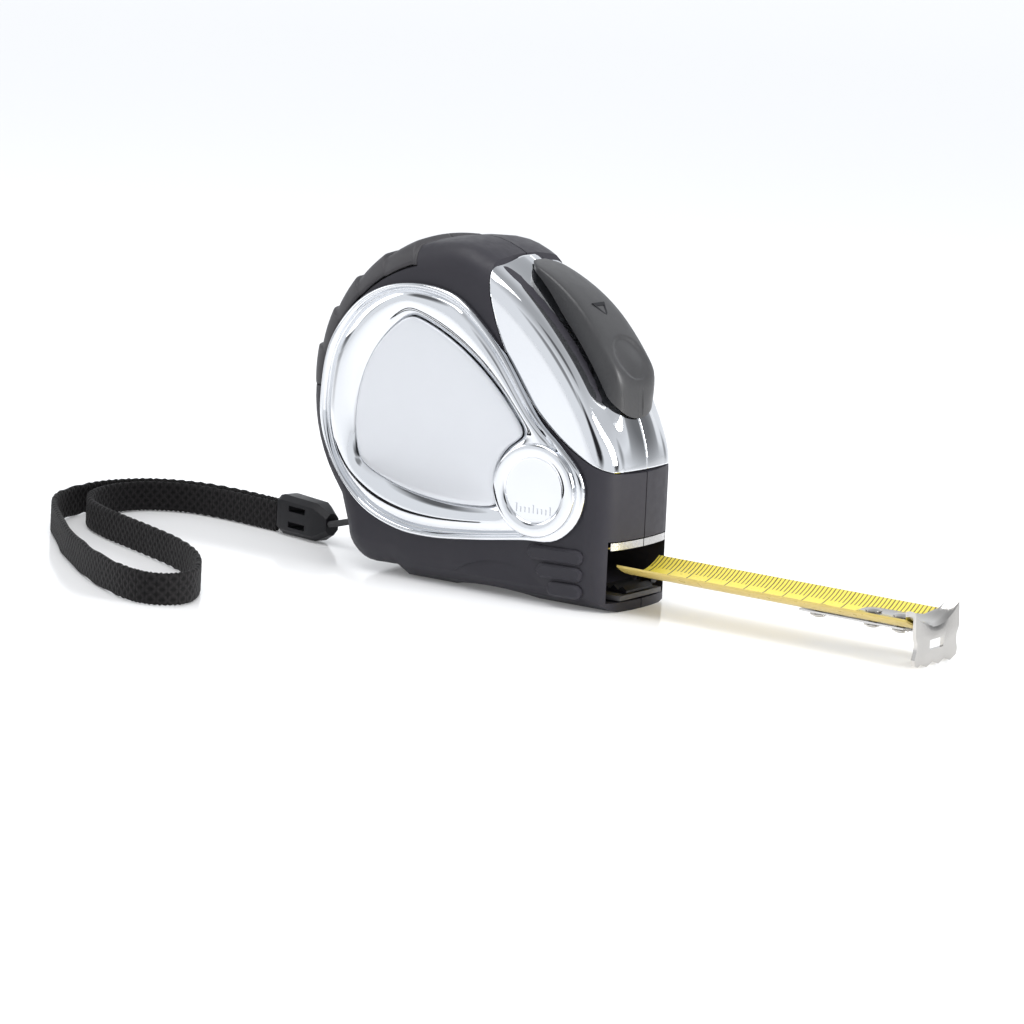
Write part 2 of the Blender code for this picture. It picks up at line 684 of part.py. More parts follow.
def blade_height(y, lift=0.0):
    """Height of the cupped blade's top face, or of a surface lifted square off it."""
    radius = blade_radius() - lift
    bottom = BLADE_EDGE_Z - BLADE_RISE + lift
    return bottom + radius - math.sqrt(max(radius**2 - y**2, 0.01))


def cupped_sheet(name, outline_rows, lift, sheet, material):
    """A sheet that follows the blade's cup: rows of (x, y0, y1) from back to front."""
    across = 10
    rings = []
    for x, y0, y1 in outline_rows:
        ys = [y0 + (y1 - y0) * i / across for i in range(across + 1)]
        upper = [(x, y, blade_height(y, lift + sheet)) for y in ys]
        lower = [(x, y, blade_height(y, lift)) for y in reversed(ys)]
        rings.append(upper + lower)
    return loft(name, rings, material)


RIVETS = {"rear": 59.5, "front": 66.5}
STRIP_RIVET_X = 46.0


def blade_pieces():
    half = BLADE_WIDTH / 2
    rows = [(x, -half, half) for x in (BLADE_BACK, 25, 50, 72.4)] + [(BLADE_TIP, -half + 1.6, half - 1.6)]
    blade = cupped_sheet("blade", rows, -BLADE_SHEET, BLADE_SHEET, "blade_paint")
    for x in (*RIVETS.values(), STRIP_RIVET_X):
        combine(blade, [cylinder("hole", (x, 0, 0), (x, 0, 12), 1.25)])
    back = -BLADE_SHEET - GAP - 0.4
    rows = [(42.0, -2.0, 2.0), (42.9, -3.6, 3.6), (55, -3.6, 3.6), (69, -3.6, 3.6), (70.5, -2.4, 2.4)]
    backing = cupped_sheet("blade_end_strip", rows, back, 0.4, "steel")
    for x in (*RIVETS.values(), STRIP_RIVET_X):
        combine(backing, [cylinder("hole", (x, 0, 0), (x, 0, 12), 1.25)])
    floor = BLADE_EDGE_Z - BLADE_RISE
    low = floor - BLADE_SHEET - 2 * GAP - 0.4
    for word, x in RIVETS.items():
        top = floor + GAP + HOOK_SHEET + GAP
        rivet_profile = [(0, 0), (1.3, 0.1), (2.0, 0.5), (2.0, 0.7), (0.95, 0.7)]
        rise = top - low + 0.7
        rivet_profile += [(0.95, rise), (1.9, rise), (1.9, rise + 0.25), (1.2, rise + 0.6), (0, rise + 0.7)]
        turned(f"hook_rivet_{word}", rivet_profile, (x, 0, low - 0.7), (0, 0, 1), "nickel", 16)
    stub = [(0, 0), (1.3, 0.1), (2.0, 0.5), (2.0, 0.7), (0.95, 0.7)]
    rise = floor - low + GAP + 0.7
    stub += [(0.95, rise), (1.7, rise), (1.7, rise + 0.2), (0, rise + 0.4)]
    turned("strip_rivet", stub, (STRIP_RIVET_X, 0, low - 0.7), (0, 0, 1), "nickel", 16)


def hook_piece():
    """End hook: a cupped tongue on the blade, a bend and a toothed plate down to just off the floor."""
    half = HOOK_WIDTH / 2
    lift = GAP
    across = 14
    rings = []
    plate_x = HOOK_PLATE_X
    rows = [
        (55.8, 1.4), (56.4, 2.6), (57.6, 3.4), (66.0, 3.6),
        (69.5, 4.4), (71.4, 7.2), (72.4, half - 0.4), (73.6, half),
    ]  # fmt: skip
    for x, reach in rows:
        ys = [reach * (2 * i / across - 1) for i in range(across + 1)]
        upper = [(x, y, blade_height(y, lift + HOOK_SHEET)) for y in ys]
        lower = [(x, y, blade_height(y, lift)) for y in reversed(ys)]
        rings.append(upper + lower)
    ys = [half * (2 * i / across - 1) for i in range(across + 1)]
    bend = [(0.55, 0.10, 0.35), (0.95, 0.45, 0.9)]
    for forward, drop_out, drop_in in bend:
        upper = [(73.6 + 1.35 * forward + 0.2, y, blade_height(y, lift + HOOK_SHEET) - drop_out) for y in ys]
        inner_x = plate_x - 0.25 * (1 - forward) - 0.05
        lower = [(inner_x, y, blade_height(y, lift) - drop_in + 0.3) for y in reversed(ys)]
        rings.append(upper + lower)
    levels = [(7.6, 0.0), (6.0, 0.9), (4.2, 0.8), (2.5, 0.1)]
    for z, waist in levels:
        reach = half - waist
        row = [reach * (2 * i / across - 1) for i in range(across + 1)]
        outer = [(plate_x + HOOK_SHEET, y, z) for y in row]
        inner = [(plate_x, y, z) for y in reversed(row)]
        rings.append(outer + inner)
    tooth = [HOOK_FLOOR + 0.45 * (1 - math.cos(2 * math.pi * 3.5 * i / across)) for i in range(across + 1)]
    tooth[0] = tooth[-1] = 1.2
    reach = half - 0.5
    row = [reach * (2 * i / across - 1) for i in range(across + 1)]
    outer = [(plate_x + HOOK_SHEET, y, z) for y, z in zip(row, tooth)]
    rings.append(outer + [(plate_x, y, z) for y, z in zip(reversed(row), reversed(tooth))])
    hook = loft("end_hook", rings, "nickel")
    slot = box("slot", (plate_x - 2, -3.1, 3.9), (plate_x + 3, 3.1, 6.1))
    combine(hook, [slot])
    for x in RIVETS.values():
        path = [*arc(x + 0.45, 0, 1.35, -90, 90, 8), *arc(x - 0.45, 0, 1.35, 90, 270, 8)]
        combine(hook, [loft("slot", [[(px, py, z) for px, py in path] for z in (2, 12)])])
    return hook


# ---------------------------------------------------------------- wrist strap
STRAP_KNOTS = (
    (-106.2, 7.1), (-112, 8.2), (-123, 9.6), (-135, 9.2), (-144.5, 4.6), (-149.8, -3.6),
    (-151.2, -14), (-148.5, -27.5), (-141.5, -38.2), (-130.5, -49), (-119.5, -59.4), (-107.4, -69),
    (-95.2, -77.4), (-82.4, -84), (-74, -85.6), (-69.2, -82), (-69.4, -75.2), (-75.6, -65.5),
    (-84.2, -57), (-95.2, -49.8), (-106.5, -44.6), (-117.4, -40), (-127.6, -35.5), (-136.8, -30),
    (-143.6, -22.2), (-146.6, -12.7), (-145.6, -4), (-141.6, 1.8), (-134.2, 5.6), (-123.4, 6),
    (-112.8, 4.8), (-106.9, 4.1),
)  # fmt: skip
CLIP_FRONT, CLIP_BACK = (-88.6, 1.4), (-106.0, 5.6)
EYE_X, EYE_Z = -71.6, 9.9  # where the link passes round the pin, in the level frame


def strap_pieces():
    """Webbing that stands on its edge on the floor, its moulded clip and the cord that holds it."""
    points = smooth_path(STRAP_KNOTS, 2)
    path = []
    for i, (x, y) in enumerate(points):
        before, after = points[max(i - 1, 0)], points[min(i + 1, len(points) - 1)]
        along = Vector((after[0] - before[0], after[1] - before[1], 0)).normalized()
        path.append(((x, y, STRAP_WIDTH / 2 + 0.05), (-along.y, along.x, 0)))
    strip("wrist_strap", path, (0, 0, 1), STRAP_WIDTH / 2, STRAP_SHEET, "webbing")

    front, back = Vector((*CLIP_FRONT, 0)), Vector((*CLIP_BACK, 0))
    along = (back - front).normalized()
    square = Vector((-along.y, along.x, 0))
    rings = []
    for share, half_height, half_sheet in ((0, 2.6, 1.9), (0.22, 4.6, 2.9), (0.9, 4.8, 3.1), (1.0, 4.3, 2.7)):
        spot = front + (back - front) * share * 0.985 + Vector((0, 0, 5.0))
        chamfer = 1.2
        section = (
            (half_height, half_sheet - chamfer), (half_height - chamfer, half_sheet),
            (chamfer - half_height, half_sheet), (-half_height, half_sheet - chamfer),
        )  # fmt: skip
        section += tuple((-up, -out) for up, out in section)
        rings.append([spot + Vector((0, 0, up)) + square * out for up, out in section])
    clip = loft("strap_clip", rings, "black_plastic")
    for up in (1.9, -2.0):
        spot = front + (back - front) * 0.55 + Vector((0, 0, 5.0 + up))
        corners = ((-3, -0.7), (3, -0.7), (3, 0.7), (-3, 0.7))
        corners = [spot + along * a + Vector((0, 0, b)) for a, b in corners]
        combine(clip, [loft("slot", [[c + square * d for c in corners] for d in (-5, 5)])])

    bend = PIN_R + GAP + LINK_R
    leg_a = Vector((*CLIP_FRONT, 5.2)) - along * GAP + square * 0.95
    leg_b = Vector((*CLIP_FRONT, 5.2)) - along * GAP - square * 0.95
    angles = [math.radians(-100 + 20 * i) for i in range(11)]
    turn = [(EYE_X + bend * math.cos(a), bend * math.sin(a), EYE_Z) for a in angles]
    knots = [tuple(leg_a), (-80, -1.2, 7.6), *turn, (-80, 2.2, 7.6), tuple(leg_b)]
    if leg_a.y > leg_b.y:
        knots[0], knots[-1] = knots[-1], knots[0]
    tube("strap_link", smooth_path(knots, 2), LINK_R, "webbing")


clear_scene()
MATERIALS = make_materials()
FRAME = make_frame("case_frame", SOLE, LEAN)
case_pieces()
mouth_pieces()
reel_pieces()
slider_pieces()
FRAME = make_frame("level_frame", 0, 0)
blade_pieces()
hook_piece()
strap_pieces()
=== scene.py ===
"""Looks of the pocket tape measure: finer covers, plates, slider, strap and every material.

Lengths are in millimetres. place() turns a point in the case's own leaning frame into metres in
the row frame, and level() does so for a point above the floor. Both frames start at the mouth, +X
is the way the blade is pulled and -Y is the left side.
"""

import math

import bmesh
import bpy
from mathutils import Matrix, Vector


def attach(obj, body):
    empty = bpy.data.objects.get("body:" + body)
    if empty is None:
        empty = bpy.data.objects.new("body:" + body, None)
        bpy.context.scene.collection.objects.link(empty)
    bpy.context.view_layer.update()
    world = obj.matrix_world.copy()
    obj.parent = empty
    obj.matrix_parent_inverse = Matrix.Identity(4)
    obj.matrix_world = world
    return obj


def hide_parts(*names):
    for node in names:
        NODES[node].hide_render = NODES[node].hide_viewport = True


MM = 0.001
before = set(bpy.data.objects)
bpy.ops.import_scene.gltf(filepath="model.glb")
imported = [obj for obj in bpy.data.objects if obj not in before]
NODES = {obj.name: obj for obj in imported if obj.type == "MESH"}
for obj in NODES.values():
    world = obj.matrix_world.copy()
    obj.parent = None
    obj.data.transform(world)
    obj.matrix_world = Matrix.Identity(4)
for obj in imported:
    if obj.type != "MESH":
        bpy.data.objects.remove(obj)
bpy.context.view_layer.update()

# ---------------------------------------------------------------- dimensions that part.py shares
MOUTH_X = 4.4
LEAN = math.radians(1.3)
SOLE = 2.5
HALF_FRONT, TOE = 14.5, 0.045
CORNER, CROWN = 6.0, 0.7
SEAM = 0.12
REAR_X, REAR_Z, REAR_R = -45.5, 39.5, 38.3
FRONT_TOP_Z = 28.0
BADGE_X, BADGE_Z, BADGE_R = -18.6, 24.0, 10.6
SLIDE_X, SLIDE_Z, SLIDE_R = -77.1, 3.4, 83.0
STRAP_WIDTH, STRAP_SHEET = 7.5, 1.4
SIDES = (("left", -1), ("right", 1))


def place(point):
    x = point[0] * math.cos(LEAN) - point[2] * math.sin(LEAN)
    z = point[0] * math.sin(LEAN) + point[2] * math.cos(LEAN)
    return Vector((x + MOUTH_X, point[1], z + SOLE)) * MM


def level(point):
    return Vector((point[0] + MOUTH_X, point[1], point[2])) * MM


def half_thickness(x):
    return HALF_FRONT - TOE * x


# ---------------------------------------------------------------- camera, floor and lights
def make_camera():
    """Long lens at the left front, a little above the case, rolled slightly."""
    azimuth, elevation, roll = (math.radians(a) for a in (33.712, 10.475, 3.597))
    back = Vector(
        (
            math.sin(azimuth) * math.cos(elevation),
            -math.cos(azimuth) * math.cos(elevation),
            math.sin(elevation),
        )
    )
    aside = Vector((math.cos(azimuth), math.sin(azimuth), 0))
    up = back.cross(aside)
    right = aside * math.cos(roll) + up * math.sin(roll)
    top = up * math.cos(roll) - aside * math.sin(roll)
    data = bpy.data.cameras.new("camera")
    data.sensor_width = 36
    data.lens = 140.6
    data.clip_start = 0.05
    data.clip_end = 10
    camera = bpy.data.objects.new("camera", data)
    bpy.context.scene.collection.objects.link(camera)
    turn = Matrix((right, top, back)).transposed().to_4x4()
    spot = level((-34.48, -3.02, 17.03)) + back * 917.24 * MM
    camera.matrix_world = Matrix.Translation(spot) @ turn
    bpy.context.scene.camera = camera


def area_light(name, spot, target, size, power, tint=(1, 1, 1)):
    data = bpy.data.lights.new(name, "AREA")
    data.shape = "RECTANGLE"
    data.size, data.size_y = size
    data.energy = power
    data.color = tint
    light = bpy.data.objects.new(name, data)
    bpy.context.scene.collection.objects.link(light)
    light.location = spot
    aim = Vector(target) - Vector(spot)
    light.rotation_euler = aim.to_track_quat("-Z", "Y").to_euler()
    return light


def make_studio():
    mesh = bpy.data.meshes.new("floor")
    mesh.from_pydata([(-9, -9, 0), (9, -9, 0), (9, 9, 0), (-9, 9, 0)], [], [(0, 1, 2, 3)])
    floor = bpy.data.objects.new("floor", mesh)
    bpy.context.scene.collection.objects.link(floor)
    material, shader, _ = new_material("floor_white")
    shader.inputs["Base Color"].default_value = (0.95, 0.95, 0.955, 1)
    shader.inputs["Roughness"].default_value = 0.14
    shader.inputs["Specular IOR Level"].default_value = 0.5
    shader.inputs["Emission Color"].default_value = (1, 1, 1, 1)
    shader.inputs["Emission Strength"].default_value = 0.12
    mesh.materials.append(material)
    make_world()
    centre = (-0.02, 0, 0.03)
    area_light("top_softbox", (-0.10, -0.15, 0.80), centre, (0.55, 0.45), 3.6)
    area_light("left_softbox", (-0.85, -0.35, 0.40), centre, (0.35, 0.55), 1.2)
    area_light("front_softbox", (0.80, 0.10, 0.35), centre, (0.30, 0.45), 7.0)


def make_world():
    """White room with a dark gap round the photographer and a dimmer ceiling, for the chrome."""
    world = bpy.data.worlds.new("studio")
    bpy.context.scene.world = world
    world.use_nodes = True
    tree = world.node_tree
    tree.nodes.clear()
    output = tree.nodes.new("ShaderNodeOutputWorld")
    background = tree.nodes.new("ShaderNodeBackground")
    coordinate = tree.nodes.new("ShaderNodeTexCoord")
    direction = coordinate.outputs["Generated"]

    def patch(toward, inner, outer):
        """1 inside the inner angle from a direction, 0 beyond the outer one."""
        dot = tree.nodes.new("ShaderNodeVectorMath")
        dot.operation = "DOT_PRODUCT"
        tree.links.new(direction, dot.inputs[0])
        dot.inputs[1].default_value = Vector(toward).normalized()
        edge = (math.cos(math.radians(outer)), math.cos(math.radians(inner)))
        return remap(tree, dot.outputs["Value"], 0.0, 1.0, *edge)

    zones = (
        ((0.60, -0.79, 0.26), 9, 17, 0.98),
        ((0.15, 0.10, 1.00), 20, 62, 0.50),
        ((-0.90, -0.42, 0.20), 7, 14, 0.9),
        ((-0.45, -0.70, 0.75), 6, 14, 0.85),
        ((0.97, 0.22, 0.16), 8, 15, 0.9),
        ((0.60, -0.25, 0.85), 6, 14, 0.85),
        ((0.25, -0.95, 0.50), 5, 12, 0.7),
        ((-0.98, 0.30, 0.55), 8, 16, 0.7),
        ((0.47, 0.82, 0.27), 6, 24, 0.8),
    )
    shade = None
    for toward, inner, outer, share in zones:
        zone = math_node(tree, "MULTIPLY", patch(toward, inner, outer), share)
        shade = zone if shade is None else math_node(tree, "MAXIMUM", shade, zone)
    colour = mix_colour(tree, shade, (0.94, 0.965, 1.0), (0.01, 0.01, 0.012))
    tree.links.new(colour, background.inputs[0])
    background.inputs[1].default_value = 1.0
    bpy.context.scene.view_settings.view_transform = "Standard"
    tree.links.new(background.outputs[0], output.inputs[0])


# ---------------------------------------------------------------- mesh helpers
def arc(cx, cz, radius, start, end, steps):
    angles = [math.radians(start + (end - start) * i / steps) for i in range(steps + 1)]
    return [(cx + radius * math.cos(a), cz + radius * math.sin(a)) for a in angles]


def bezier(p0, p1, p2, p3, steps):
    points = []
    for i in range(steps + 1):
        t = i / steps
        weights = ((1 - t) ** 3, 3 * t * (1 - t) ** 2, 3 * t * t * (1 - t), t**3)
        points.append(
            tuple(sum(w * p[k] for w, p in zip(weights, (p0, p1, p2, p3))) for k in (0, 1))
        )
    return points


def spline(knots, steps, closed=False):
    """Catmull-Rom curve through the knots, of any dimension."""
    count = len(knots)
    picks = range(count if closed else count - 1)
    points = []
    for i in picks:
        if closed:
            a, b, c, d = (knots[(i + k) % count] for k in (-1, 0, 1, 2))
        else:
            a, b, c, d = (knots[min(max(i + k, 0), count - 1)] for k in (-1, 0, 1, 2))
        for j in range(steps):
            t = j / steps
            points.append(
                tuple(
                    0.5
                    * (
                        2 * b[k]
                        + (c[k] - a[k]) * t
                        + (2 * a[k] - 5 * b[k] + 4 * c[k] - d[k]) * t * t
                        + (3 * b[k] - a[k] - 3 * c[k] + d[k]) * t**3
                    )
                    for k in range(len(b))
                )
            )
    if not closed:
        points.append(tuple(knots[-1]))
    return points


def build(name, points, faces, material, body, replaces=(), sharp=40, frame_of=place):
    """One smooth-shaded piece from points in the case or level frame, riding on a body."""
    mesh = bpy.data.meshes.new(name)
    mesh.from_pydata([frame_of(p) for p in points], [], faces)
    work = bmesh.new()
    work.from_mesh(mesh)
    bmesh.ops.remove_doubles(work, verts=work.verts, dist=1e-6)
    bmesh.ops.recalc_face_normals(work, faces=work.faces)
    work.to_mesh(mesh)
    work.free()
    mesh.shade_smooth()
    mesh.set_sharp_from_angle(angle=math.radians(sharp))
    mesh.materials.append(material)
    piece = bpy.data.objects.new(name, mesh)
    bpy.context.scene.collection.objects.link(piece)
    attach(piece, body)
    if replaces:
        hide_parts(*replaces)
    return piece


def ring_faces(count, rows, cap_start=True, cap_end=True):
    faces = []
    for k in range(rows - 1):
        for i in range(count):
            j = (i + 1) % count
            faces.append((k * count + i, k * count + j, (k + 1) * count + j, (k + 1) * count + i))
    if cap_start:
        faces.append(tuple(range(count)))
    if cap_end:
        faces.append(tuple(range((rows - 1) * count, rows * count)))
    return faces


def grid_faces(columns, rows):
    faces = []
    for k in range(rows - 1):
        for i in range(columns - 1):
            a = k * columns + i
            faces.append((a, a + 1, a + columns + 1, a + columns))
    return faces


def solidify(piece, depth):
    """Gives an open sheet its depth, away from its visible side."""
    modifier = piece.modifiers.new("depth", "SOLIDIFY")
    modifier.thickness = depth * MM
    modifier.offset = -1
    modifier.use_even_offset = False
    return modifier


def bevel(piece, width, segments=2, angle=35):
    modifier = piece.modifiers.new("edges", "BEVEL")
    modifier.width = width * MM
    modifier.segments = segments
    modifier.limit_method = "ANGLE"
    modifier.angle_limit = math.radians(angle)
    modifier.harden_normals = True
    return modifier


def refine_node(name, angle=35):
    """Welds a CAD node's triangles for display and shades it smooth across gentle edges."""
    node = NODES[name]
    group = bpy.data.node_groups.get("smooth_shading") or smooth_group()
    modifier = node.modifiers.new("smooth", "NODES")
    modifier.node_group = group
    return node


def smooth_group():
    group = bpy.data.node_groups.new("smooth_shading", "GeometryNodeTree")
    group.interface.new_socket("Geometry", in_out="INPUT", socket_type="NodeSocketGeometry")
    group.interface.new_socket("Geometry", in_out="OUTPUT", socket_type="NodeSocketGeometry")
    nodes, links = group.nodes, group.links
    start = nodes.new("NodeGroupInput")
    end = nodes.new("NodeGroupOutput")
    weld = nodes.new("GeometryNodeMergeByDistance")
    weld.inputs["Distance"].default_value = 1e-6
    faces = nodes.new("GeometryNodeSetShadeSmooth")
    faces.domain = "FACE"
    edges = nodes.new("GeometryNodeSetShadeSmooth")
    edges.domain = "EDGE"
    edges.inputs["Shade Smooth"].default_value = False
    angle = nodes.new("GeometryNodeInputMeshEdgeAngle")
    compare = nodes.new("FunctionNodeCompare")
    compare.operation = "GREATER_THAN"
    compare.inputs[1].default_value = math.radians(35)
    links.new(start.outputs[0], weld.inputs["Geometry"])
    links.new(weld.outputs["Geometry"], faces.inputs["Geometry"])
    links.new(faces.outputs["Geometry"], edges.inputs["Geometry"])
    links.new(angle.outputs["Unsigned Angle"], compare.inputs[0])
    links.new(compare.outputs[0], edges.inputs["Selection"])
    links.new(edges.outputs["Geometry"], end.inputs[0])
    return group


# ---------------------------------------------------------------- materials
def new_material(name):
    material = bpy.data.materials.new(name)
    material.use_nodes = True
    tree = material.node_tree
    return material, tree.nodes["Principled BSDF"], tree


def texture_point(tree, scale=(1, 1, 1)):
    """Mesh coordinates in millimetres, stretched by scale."""
    coordinate = tree.nodes.new("ShaderNodeTexCoord")
    mapping = tree.nodes.new("ShaderNodeMapping")
    mapping.inputs["Scale"].default_value = [s / MM for s in scale]
    tree.links.new(coordinate.outputs["Object"], mapping.inputs["Vector"])
    return mapping.outputs["Vector"]


def noise(tree, scale, detail=4.0, stretch=(1, 1, 1)):
    node = tree.nodes.new("ShaderNodeTexNoise")
    node.inputs["Scale"].default_value = scale
    node.inputs["Detail"].default_value = detail
    tree.links.new(texture_point(tree, stretch), node.inputs["Vector"])
    return node.outputs["Fac"]


def remap(tree, value, low, high, start=0.3, end=0.7):
    node = tree.nodes.new("ShaderNodeMapRange")
    node.inputs["From Min"].default_value = start
    node.inputs["From Max"].default_value = end
    node.inputs["To Min"].default_value = low
    node.inputs["To Max"].default_value = high
    tree.links.new(value, node.inputs["Value"])
    return node.outputs["Result"]


def mix_colour(tree, factor, first, second):
    node = tree.nodes.new("ShaderNodeMix")
    node.data_type = "RGBA"
    for socket, colour in ((node.inputs[6], first), (node.inputs[7], second)):
        if isinstance(colour, tuple):
            socket.default_value = (*colour, 1)
        else:
            tree.links.new(colour, socket)
    tree.links.new(factor, node.inputs[0])
    return node.outputs[2]


def add_bump(tree, shader, height, distance, strength=1.0):
    node = tree.nodes.new("ShaderNodeBump")
    node.inputs["Strength"].default_value = strength
    node.inputs["Distance"].default_value = distance * MM
    tree.links.new(height, node.inputs["Height"])
    tree.links.new(node.outputs["Normal"], shader.inputs["Normal"])


def plain_finish(name, dark, light, rough, metallic=0.0, grain=3.0, depth=0.01, spec=0.5):
    """Colour, roughness and fine relief that vary with noise of a given grain per millimetre."""
    material, shader, tree = new_material(name)
    shader.inputs["Metallic"].default_value = metallic
    shader.inputs["Specular IOR Level"].default_value = spec
    broad = noise(tree, 0.12, 3.0)
    tree.links.new(mix_colour(tree, broad, dark, light), shader.inputs["Base Color"])
    tree.links.new(remap(tree, noise(tree, 0.5), rough[0], rough[1]), shader.inputs["Roughness"])
    if depth:
        add_bump(tree, shader, noise(tree, grain, 2.0), depth)
    return material


def make_materials():
    made = {
        "shell_plastic": plain_finish("shell_plastic", (0.026, 0.025, 0.032), (0.036, 0.034, 0.041), (0.42, 0.52), grain=5.0, depth=0.012, spec=0.24),
        "grip_rubber": plain_finish("grip_rubber", (0.044, 0.042, 0.046), (0.062, 0.060, 0.064), (0.44, 0.54), grain=6.0, depth=0.015, spec=0.28),
        "chrome": plain_finish("chrome", (0.71, 0.725, 0.75), (0.74, 0.755, 0.78), (0.025, 0.05), 1.0, depth=0),
        "panel_grey": plain_finish("panel_grey", (0.70, 0.715, 0.745), (0.72, 0.735, 0.765), (0.30, 0.34), 0.35, grain=10.0, depth=0.001),
        "slider_plastic": plain_finish("slider_plastic", (0.036, 0.036, 0.038), (0.048, 0.048, 0.050), (0.32, 0.40), grain=6.0, depth=0.006, spec=0.38),
        "inner_plastic": plain_finish("inner_plastic", (0.30, 0.31, 0.32), (0.36, 0.37, 0.38), (0.40, 0.52), depth=0.01),
        "mouth_plastic": plain_finish("mouth_plastic", (0.075, 0.073, 0.075), (0.10, 0.098, 0.10), (0.40, 0.52), depth=0.01),
        "black_plastic": plain_finish("black_plastic", (0.006, 0.006, 0.008), (0.010, 0.010, 0.012), (0.36, 0.46), grain=4.0, depth=0.01, spec=0.25),
        "steel": plain_finish("steel", (0.52, 0.51, 0.50), (0.62, 0.61, 0.60), (0.22, 0.34), 1.0, grain=4.0, depth=0.004),
        "nickel": plain_finish("nickel", (0.50, 0.485, 0.465), (0.60, 0.585, 0.56), (0.12, 0.20), 1.0, grain=3.0, depth=0.004),
        "coil_edge": plain_finish("coil_edge", (0.70, 0.50, 0.03), (0.80, 0.60, 0.06), (0.35, 0.45), depth=0.01),
    }  # fmt: skip
    made["blade_print"] = blade_print()
    made["webbing"] = webbing_weave()
    return made


def math_node(tree, operation, first, second=None):
    node = tree.nodes.new("ShaderNodeMath")
    node.operation = operation
    for socket, value in zip(node.inputs, (first, second)):
        if value is None:
            continue
        if isinstance(value, (int, float)):
            socket.default_value = value
        else:
            tree.links.new(value, socket)
    return node.outputs[0]


def blade_print():
    """Yellow lacquer with black scale lines: one each millimetre, a longer one each fifth; faces turned down get a
    darker tan as painted shade.
    """
    material, shader, tree = new_material("blade_print")
    split = tree.nodes.new("ShaderNodeSeparateXYZ")
    tree.links.new(texture_point(tree), split.inputs[0])
    x, y = split.outputs[0], split.outputs[1]

    def lines(pitch, width):
        phase = math_node(tree, "PINGPONG", math_node(tree, "ADD", x, 500 * pitch - MOUTH_X), pitch / 2)
        return math_node(tree, "LESS_THAN", phase, width / 2)

    short = math_node(tree, "MULTIPLY", lines(1.0, 0.24), math_node(tree, "GREATER_THAN", y, 4.8))
    medium = math_node(tree, "MULTIPLY", lines(5.0, 0.26), math_node(tree, "GREATER_THAN", y, -2.0))
    long = math_node(tree, "MULTIPLY", lines(10.0, 0.28), math_node(tree, "GREATER_THAN", y, -7.0))
    ink = math_node(tree, "MAXIMUM", math_node(tree, "MAXIMUM", short, medium), long)
    normal = tree.nodes.new("ShaderNodeNewGeometry")
    facing = tree.nodes.new("ShaderNodeSeparateXYZ")
    tree.links.new(normal.outputs["Normal"], facing.inputs[0])
    upward = math_node(tree, "GREATER_THAN", facing.outputs[2], 0.2)
    ink = math_node(tree, "MULTIPLY", ink, upward)
    wear = noise(tree, 0.25, 3.0)
    top = mix_colour(tree, wear, (0.82, 0.67, 0.085), (0.86, 0.71, 0.11))
    # Faces turned down get a darker tan copy of the same yellow lacquer: painted shade.
    painted_shade_under = mix_colour(tree, wear, (0.66, 0.50, 0.14), (0.72, 0.56, 0.17))
    lacquer_and_shade = mix_colour(tree, upward, painted_shade_under, top)
    tree.links.new(mix_colour(tree, ink, lacquer_and_shade, (0.03, 0.03, 0.03)), shader.inputs["Base Color"])
    tree.links.new(remap(tree, noise(tree, 0.6), 0.26, 0.36), shader.inputs["Roughness"])
    return material


def webbing_weave():
    """Black flat-woven tape: ribs across it and finer threads along it; its colour darkens in the low gaps of the
    weave, painted shade.
    """
    material, shader, tree = new_material("webbing")
    coordinate = tree.nodes.new("ShaderNodeUVMap")
    split = tree.nodes.new("ShaderNodeSeparateXYZ")
    tree.links.new(coordinate.outputs[0], split.inputs[0])
    along, across = split.outputs[0], split.outputs[1]
    cell = math.tau / WEAVE_CELL
    rising = math_node(tree, "SINE", math_node(tree, "MULTIPLY", math_node(tree, "ADD", along, across), cell))
    falling = math_node(tree, "SINE", math_node(tree, "MULTIPLY", math_node(tree, "SUBTRACT", along, across), cell))
    rib = math_node(tree, "SINE", math_node(tree, "MULTIPLY", along, math.tau / 0.77))
    plait = math_node(tree, "MAXIMUM", rising, falling)
    weave = math_node(tree, "ADD", plait, math_node(tree, "MULTIPLY", rib, 0.22))
    height = remap(tree, weave, 0.0, 1.0, -0.5, 1.2)
    fuzz = noise(tree, 2.2, 4.0)
    shade = math_node(tree, "MULTIPLY", height, remap(tree, fuzz, 0.6, 1.0))
    # The base colour follows the weave height, near black in the low gaps between strands: painted shade.
    tree.links.new(mix_colour(tree, shade, (0.0005, 0.0005, 0.0005), (0.017, 0.015, 0.016)), shader.inputs["Base Color"])
    shader.inputs["Roughness"].default_value = 0.78
    shader.inputs["Specular IOR Level"].default_value = 0.22
    shader.inputs["Sheen Weight"].default_value = 0.04
    shader.inputs["Sheen Roughness"].default_value = 0.4
    add_bump(tree, shader, shade, 0.25, 1.0)
    return material


# ---------------------------------------------------------------- the case surface
def outline_point(t):
    """Front and top profile: t in 0..1 is the front slope from its foot, 1..2 the rear arc."""
    if t <= 1:
        p0, p1, p2, p3 = (0, FRONT_TOP_Z), (0, 48.3), (-30.2, 77.8), (REAR_X, REAR_Z + REAR_R)
        w = ((1 - t) ** 3, 3 * t * (1 - t) ** 2, 3 * t * t * (1 - t), t**3)
        return Vector([sum(a * p[k] for a, p in zip(w, (p0, p1, p2, p3))) for k in (0, 1)])
    angle = math.radians(90 + (t - 1) * 123)
    return Vector((REAR_X + REAR_R * math.cos(angle), REAR_Z + REAR_R * math.sin(angle)))


def outline_normal(t):
    """Inward normal of the profile."""
    step = 1e-4
    if t <= step:
        return Vector((-1, 0))
    along = outline_point(t + step) - outline_point(t - step)
    return Vector((-along.y, along.x)).normalized()


